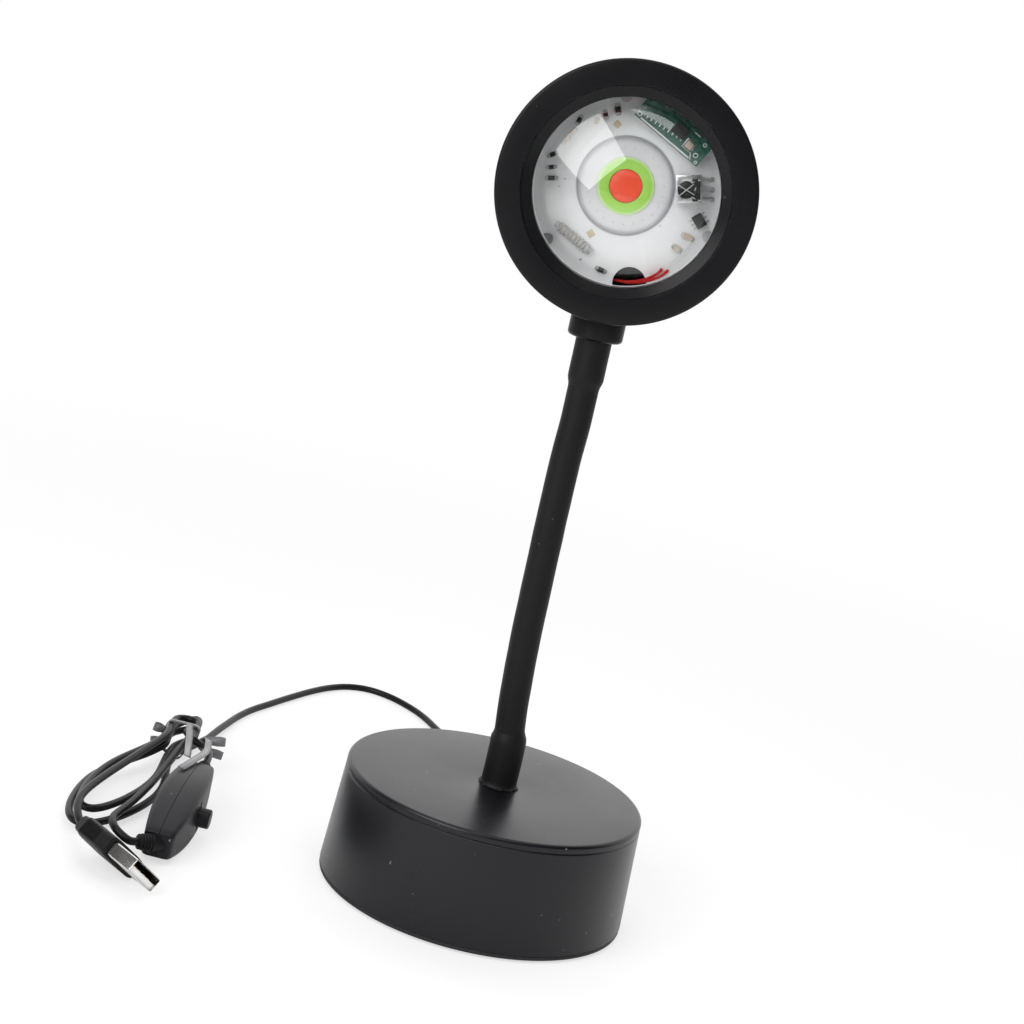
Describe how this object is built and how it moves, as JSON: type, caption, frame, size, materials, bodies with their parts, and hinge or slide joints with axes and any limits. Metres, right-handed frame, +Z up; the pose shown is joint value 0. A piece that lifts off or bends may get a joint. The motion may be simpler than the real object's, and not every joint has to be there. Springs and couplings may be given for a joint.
{
  "type": "sunset projection lamp",
  "caption": "Projection lamp with a round head behind a clear domed lens, a sleeved gooseneck, a weighted drum base, and a tied cord with an inline push switch and a USB-A plug.",
  "frame": {"origin": "middle of the drum base on the floor, at the underside of its foot pad", "axes": "+Z up; -Y the way the lens looks; +X to the right of someone who faces the lens"},
  "size_m": [0.1732, 0.2457, 0.2565],
  "materials": {
    "shell_black": "black, satin",
    "iron": "dark, as cast",
    "plate_black": "matte black",
    "pad_rubber": "matte black foam rubber",
    "steel": "zinc-plated",
    "brass": "turned",
    "cord_black": "satin black",
    "relief_black": "matte black",
    "sleeve_black": "smooth matte black",
    "collar_gloss": "glossy black",
    "head_black": "matte black, fine texture",
    "lens_clear": "polished",
    "gasket_black": "matte black",
    "board_white": "white solder mask",
    "module_white": "white",
    "filter_green": "yellow-green, dyed",
    "filter_red": "orange-red, dyed",
    "alu": "plain",
    "board_green": "green solder mask",
    "part_black": "moulded black",
    "can_metal": "tinned",
    "part_tan": "ceramic tan",
    "wire_red": "red and black insulation",
    "tie_grey": "soft black film",
    "case_black": "satin black",
    "latch_ivory": "moulded",
    "grip_black": "satin black",
    "plug_metal": "nickel-plated",
    "tongue_white": "white",
    "contact_gold": "gold-plated"
  },
  "bodies": {
    "base": {"base_shell": "shell_black", "base_weight": "iron", "base_plate": "plate_black", "base_pad": "pad_rubber", "plate_screws": "steel", "neck_nut": "steel", "neck_washer": "steel", "lower_ferrule": "brass", "cord_grommet": "relief_black", "base_lead": "cord_black", "hose_foot": "steel", "neck_sleeve": "sleeve_black", "neck_lead": "cord_black", "cord_free": "cord_black", "cord_hank": "cord_black", "cord_tail": "cord_black", "cord_tie": "tie_grey", "switch_case_front": "case_black", "switch_case_back": "case_black", "switch_latch": "latch_ivory", "switch_screws": "steel", "switch_relief_top": "relief_black", "switch_relief_low": "relief_black", "plug_grip": "grip_black", "plug_shell": "plug_metal", "plug_tongue": "tongue_white", "plug_contacts": "contact_gold"},
    "neck_1": {"hose_link_1": "steel"},
    "neck_2": {"hose_link_2": "steel"},
    "neck_3": {"hose_link_3": "steel"},
    "neck_4": {"hose_link_4": "steel"},
    "neck_5": {"hose_link_5": "steel"},
    "neck_6": {"hose_link_6": "steel"},
    "neck_7": {"hose_link_7": "steel"},
    "head": {"hose_top": "steel", "upper_ferrule": "brass", "collar": "collar_gloss", "head_locknut": "steel", "head_housing": "head_black", "rear_cover": "plate_black", "front_bezel": "head_black", "lens": "lens_clear", "lens_gasket": "gasket_black", "lens_retainer": "gasket_black", "led_board": "board_white", "led_module": "module_white", "filter_ring": "filter_green", "filter_core": "filter_red", "heat_sink": "alu", "board_screws": "steel", "driver_board": "board_green", "driver_chip": "part_black", "header_pins": "part_black", "ir_receiver": "can_metal", "ir_eye": "part_black", "chips": "part_black", "small_parts": "part_tan", "coil_inductor": "can_metal", "head_wires": "wire_red"},
    "button": {"switch_button": "case_black"}
  },
  "joints": [
    {"name": "nod_1", "type": "hinge", "parent": "base", "child": "neck_1", "pos_m": [-0.00055, 0, 0.06013], "axis": [1, 0, 0], "range_deg": [-18, 18], "deforming": ["neck_sleeve", "neck_lead"]},
    {"name": "lean_1", "type": "hinge", "parent": "neck_1", "child": "neck_2", "pos_m": [-0.00138, 0, 0.0731], "axis": [0, 1, 0], "range_deg": [-18, 18], "deforming": ["neck_sleeve", "neck_lead"]},
    {"name": "nod_2", "type": "hinge", "parent": "neck_2", "child": "neck_3", "pos_m": [-0.00197, 0, 0.08609], "axis": [1, 0, 0], "range_deg": [-18, 18], "deforming": ["neck_sleeve", "neck_lead"]},
    {"name": "lean_2", "type": "hinge", "parent": "neck_3", "child": "neck_4", "pos_m": [-0.00227, 0, 0.09909], "axis": [0, 1, 0], "range_deg": [-18, 18], "deforming": ["neck_sleeve", "neck_lead"]},
    {"name": "nod_3", "type": "hinge", "parent": "neck_4", "child": "neck_5", "pos_m": [-0.00256, 0, 0.11208], "axis": [1, 0, 0], "range_deg": [-18, 18], "deforming": ["neck_sleeve", "neck_lead"]},
    {"name": "lean_3", "type": "hinge", "parent": "neck_5", "child": "neck_6", "pos_m": [-0.00281, 0, 0.12508], "axis": [0, 1, 0], "range_deg": [-18, 18], "deforming": ["neck_sleeve", "neck_lead"]},
    {"name": "nod_4", "type": "hinge", "parent": "neck_6", "child": "neck_7", "pos_m": [-0.00297, 0, 0.13808], "axis": [1, 0, 0], "range_deg": [-18, 18], "deforming": ["neck_sleeve", "neck_lead"]},
    {"name": "lean_4", "type": "hinge", "parent": "neck_7", "child": "head", "pos_m": [-0.00263, 0, 0.15107], "axis": [0, 1, 0], "range_deg": [-18, 18], "deforming": ["neck_sleeve", "neck_lead"]},
    {"name": "button_press", "type": "slide", "parent": "base", "child": "button", "axis": [-1, 0, 0], "range_m": [0, 0.0015], "stiffness_N_per_m": 400, "springref_m": -0.0008}
  ],
  "couplings": [
    {"joint": "nod_2", "follows": "nod_1", "ratio": 1},
    {"joint": "lean_2", "follows": "lean_1", "ratio": 1},
    {"joint": "nod_3", "follows": "nod_1", "ratio": 1},
    {"joint": "lean_3", "follows": "lean_1", "ratio": 1},
    {"joint": "nod_4", "follows": "nod_1", "ratio": 1},
    {"joint": "lean_4", "follows": "lean_1", "ratio": 1}
  ]
}
